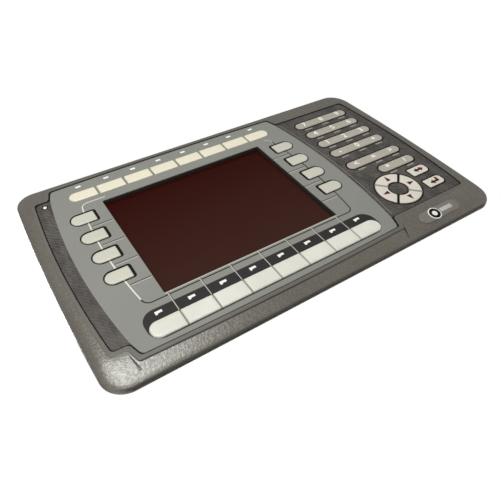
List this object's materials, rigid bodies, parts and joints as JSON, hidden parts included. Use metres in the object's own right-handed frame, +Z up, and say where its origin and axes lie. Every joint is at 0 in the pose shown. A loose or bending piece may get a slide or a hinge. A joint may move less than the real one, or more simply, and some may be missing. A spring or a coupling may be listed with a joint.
{
  "type": "operator panel",
  "caption": "Panel-mounted operator terminal with a recessed display, embossed key rows, a cursor ring, a numeric block and a shallow rear housing.",
  "frame": {"origin": "middle of the front flange's lower edge, in the plane of its rear face that lies on the cabinet door", "axes": "+X to the right and +Z up as the operator sees the panel, +Y from the operator into the cabinet"},
  "size_m": [0.2776, 0.0564, 0.1678],
  "materials": {
    "bezel": "fine spark-eroded grain with a faint sparkle",
    "film": "printed textured film, light field with dark wings",
    "cream_key": "satin cream",
    "white_key": "satin off-white",
    "side_key": "satin pale grey",
    "grey_key": "satin grey-brown",
    "ring_key": "satin cream-grey",
    "lamp": "clear milky lens",
    "window": "dark red tinted",
    "lcd": "dark display module",
    "circuit_board": "solder-masked laminate",
    "steel": "zinc-plated sheet",
    "rubber": "matt black",
    "housing": "fine black powder coat",
    "socket": "moulded black",
    "terminal": "moulded green"
  },
  "bodies": {
    "panel": {"front_bezel": "bezel", "keypad_overlay": "film", "display_window": "window", "lcd_panel": "lcd", "keypad_board": "circuit_board", "support_plate": "steel", "panel_gasket": "rubber", "status_led": "lamp", "rear_tray": "steel", "rear_cover": "housing", "main_board": "circuit_board", "power_header": "socket", "serial_port": "steel", "network_port": "steel", "clamp_1": "steel", "clamp_2": "steel", "clamp_3": "steel", "clamp_4": "steel"},
    "key_top_1": {"key_top_1": "cream_key"},
    "key_top_2": {"key_top_2": "cream_key"},
    "key_top_3": {"key_top_3": "cream_key"},
    "key_top_4": {"key_top_4": "cream_key"},
    "key_top_5": {"key_top_5": "cream_key"},
    "key_top_6": {"key_top_6": "cream_key"},
    "key_top_7": {"key_top_7": "cream_key"},
    "key_top_8": {"key_top_8": "cream_key"},
    "key_bottom_1": {"key_bottom_1": "white_key"},
    "key_bottom_2": {"key_bottom_2": "white_key"},
    "key_bottom_3": {"key_bottom_3": "white_key"},
    "key_bottom_4": {"key_bottom_4": "white_key"},
    "key_bottom_5": {"key_bottom_5": "white_key"},
    "key_bottom_6": {"key_bottom_6": "white_key"},
    "key_bottom_7": {"key_bottom_7": "white_key"},
    "key_bottom_8": {"key_bottom_8": "white_key"},
    "key_left_1": {"key_left_1": "side_key"},
    "key_left_2": {"key_left_2": "side_key"},
    "key_left_3": {"key_left_3": "side_key"},
    "key_left_4": {"key_left_4": "side_key"},
    "key_right_1": {"key_right_1": "side_key"},
    "key_right_2": {"key_right_2": "side_key"},
    "key_right_3": {"key_right_3": "side_key"},
    "key_right_4": {"key_right_4": "side_key"},
    "key_row_1": {"key_row_1": "grey_key"},
    "key_row_2": {"key_row_2": "grey_key"},
    "key_row_3": {"key_row_3": "grey_key"},
    "key_row_4": {"key_row_4": "grey_key"},
    "key_row_5": {"key_row_5": "grey_key"},
    "key_row_6": {"key_row_6": "grey_key"},
    "cursor_up": {"cursor_up": "ring_key"},
    "cursor_right": {"cursor_right": "ring_key"},
    "cursor_down": {"cursor_down": "ring_key"},
    "cursor_left": {"cursor_left": "ring_key"},
    "key_select": {"key_select": "ring_key"},
    "key_enter": {"key_enter": "ring_key"},
    "power_plug": {"power_plug": "terminal"},
    "service_door": {"service_door": "housing"},
    "clamp_screw_1": {"clamp_screw_1": "steel"},
    "clamp_screw_2": {"clamp_screw_2": "steel"},
    "clamp_screw_3": {"clamp_screw_3": "steel"},
    "clamp_screw_4": {"clamp_screw_4": "steel"}
  },
  "joints": [
    {"name": "service_door_swing", "type": "hinge", "parent": "panel", "child": "service_door", "pos_m": [-0.062, 0.048, 0.1306], "axis": [1, 0, 0], "range_deg": [0, 110]},
    {"name": "power_plug_pull", "type": "slide", "parent": "panel", "child": "power_plug", "axis": [0, 0, -1], "range_m": [0, 0.012]},
    {"name": "clamp_screw_1_travel", "type": "slide", "parent": "panel", "child": "clamp_screw_1", "axis": [0, 1, 0], "range_m": [-0.002, 0.003]},
    {"name": "clamp_screw_2_travel", "type": "slide", "parent": "panel", "child": "clamp_screw_2", "axis": [0, 1, 0], "range_m": [-0.002, 0.003]},
    {"name": "clamp_screw_3_travel", "type": "slide", "parent": "panel", "child": "clamp_screw_3", "axis": [0, 1, 0], "range_m": [-0.002, 0.003]},
    {"name": "clamp_screw_4_travel", "type": "slide", "parent": "panel", "child": "clamp_screw_4", "axis": [0, 1, 0], "range_m": [-0.002, 0.003]},
    {"name": "cursor_up_press", "type": "slide", "parent": "panel", "child": "cursor_up", "axis": [0, 1, 0], "range_m": [0, 0.0005]},
    {"name": "cursor_right_press", "type": "slide", "parent": "panel", "child": "cursor_right", "axis": [0, 1, 0], "range_m": [0, 0.0005]},
    {"name": "cursor_down_press", "type": "slide", "parent": "panel", "child": "cursor_down", "axis": [0, 1, 0], "range_m": [0, 0.0005]},
    {"name": "cursor_left_press", "type": "slide", "parent": "panel", "child": "cursor_left", "axis": [0, 1, 0], "range_m": [0, 0.0005]},
    {"name": "key_select_press", "type": "slide", "parent": "panel", "child": "key_select", "axis": [0, 1, 0], "range_m": [0, 0.0005]},
    {"name": "key_enter_press", "type": "slide", "parent": "panel", "child": "key_enter", "axis": [0, 1, 0], "range_m": [0, 0.0005]},
    {"name": "key_row_1_press", "type": "slide", "parent": "panel", "child": "key_row_1", "axis": [0, 1, 0], "range_m": [0, 0.0005]},
    {"name": "key_row_2_press", "type": "slide", "parent": "panel", "child": "key_row_2", "axis": [0, 1, 0], "range_m": [0, 0.0005]},
    {"name": "key_row_3_press", "type": "slide", "parent": "panel", "child": "key_row_3", "axis": [0, 1, 0], "range_m": [0, 0.0005]},
    {"name": "key_row_4_press", "type": "slide", "parent": "panel", "child": "key_row_4", "axis": [0, 1, 0], "range_m": [0, 0.0005]},
    {"name": "key_row_5_press", "type": "slide", "parent": "panel", "child": "key_row_5", "axis": [0, 1, 0], "range_m": [0, 0.0005]},
    {"name": "key_row_6_press", "type": "slide", "parent": "panel", "child": "key_row_6", "axis": [0, 1, 0], "range_m": [0, 0.0005]},
    {"name": "key_top_1_press", "type": "slide", "parent": "panel", "child": "key_top_1", "axis": [0, 1, 0], "range_m": [0, 0.0005]},
    {"name": "key_top_2_press", "type": "slide", "parent": "panel", "child": "key_top_2", "axis": [0, 1, 0], "range_m": [0, 0.0005]},
    {"name": "key_top_3_press", "type": "slide", "parent": "panel", "child": "key_top_3", "axis": [0, 1, 0], "range_m": [0, 0.0005]},
    {"name": "key_top_4_press", "type": "slide", "parent": "panel", "child": "key_top_4", "axis": [0, 1, 0], "range_m": [0, 0.0005]},
    {"name": "key_top_5_press", "type": "slide", "parent": "panel", "child": "key_top_5", "axis": [0, 1, 0], "range_m": [0, 0.0005]},
    {"name": "key_top_6_press", "type": "slide", "parent": "panel", "child": "key_top_6", "axis": [0, 1, 0], "range_m": [0, 0.0005]},
    {"name": "key_top_7_press", "type": "slide", "parent": "panel", "child": "key_top_7", "axis": [0, 1, 0], "range_m": [0, 0.0005]},
    {"name": "key_top_8_press", "type": "slide", "parent": "panel", "child": "key_top_8", "axis": [0, 1, 0], "range_m": [0, 0.0005]},
    {"name": "key_bottom_1_press", "type": "slide", "parent": "panel", "child": "key_bottom_1", "axis": [0, 1, 0], "range_m": [0, 0.0005]},
    {"name": "key_bottom_2_press", "type": "slide", "parent": "panel", "child": "key_bottom_2", "axis": [0, 1, 0], "range_m": [0, 0.0005]},
    {"name": "key_bottom_3_press", "type": "slide", "parent": "panel", "child": "key_bottom_3", "axis": [0, 1, 0], "range_m": [0, 0.0005]},
    {"name": "key_bottom_4_press", "type": "slide", "parent": "panel", "child": "key_bottom_4", "axis": [0, 1, 0], "range_m": [0, 0.0005]},
    {"name": "key_bottom_5_press", "type": "slide", "parent": "panel", "child": "key_bottom_5", "axis": [0, 1, 0], "range_m": [0, 0.0005]},
    {"name": "key_bottom_6_press", "type": "slide", "parent": "panel", "child": "key_bottom_6", "axis": [0, 1, 0], "range_m": [0, 0.0005]},
    {"name": "key_bottom_7_press", "type": "slide", "parent": "panel", "child": "key_bottom_7", "axis": [0, 1, 0], "range_m": [0, 0.0005]},
    {"name": "key_bottom_8_press", "type": "slide", "parent": "panel", "child": "key_bottom_8", "axis": [0, 1, 0], "range_m": [0, 0.0005]},
    {"name": "key_left_1_press", "type": "slide", "parent": "panel", "child": "key_left_1", "axis": [0, 1, 0], "range_m": [0, 0.0005]},
    {"name": "key_left_2_press", "type": "slide", "parent": "panel", "child": "key_left_2", "axis": [0, 1, 0], "range_m": [0, 0.0005]},
    {"name": "key_left_3_press", "type": "slide", "parent": "panel", "child": "key_left_3", "axis": [0, 1, 0], "range_m": [0, 0.0005]},
    {"name": "key_left_4_press", "type": "slide", "parent": "panel", "child": "key_left_4", "axis": [0, 1, 0], "range_m": [0, 0.0005]},
    {"name": "key_right_1_press", "type": "slide", "parent": "panel", "child": "key_right_1", "axis": [0, 1, 0], "range_m": [0, 0.0005]},
    {"name": "key_right_2_press", "type": "slide", "parent": "panel", "child": "key_right_2", "axis": [0, 1, 0], "range_m": [0, 0.0005]},
    {"name": "key_right_3_press", "type": "slide", "parent": "panel", "child": "key_right_3", "axis": [0, 1, 0], "range_m": [0, 0.0005]},
    {"name": "key_right_4_press", "type": "slide", "parent": "panel", "child": "key_right_4", "axis": [0, 1, 0], "range_m": [0, 0.0005]}
  ]
}
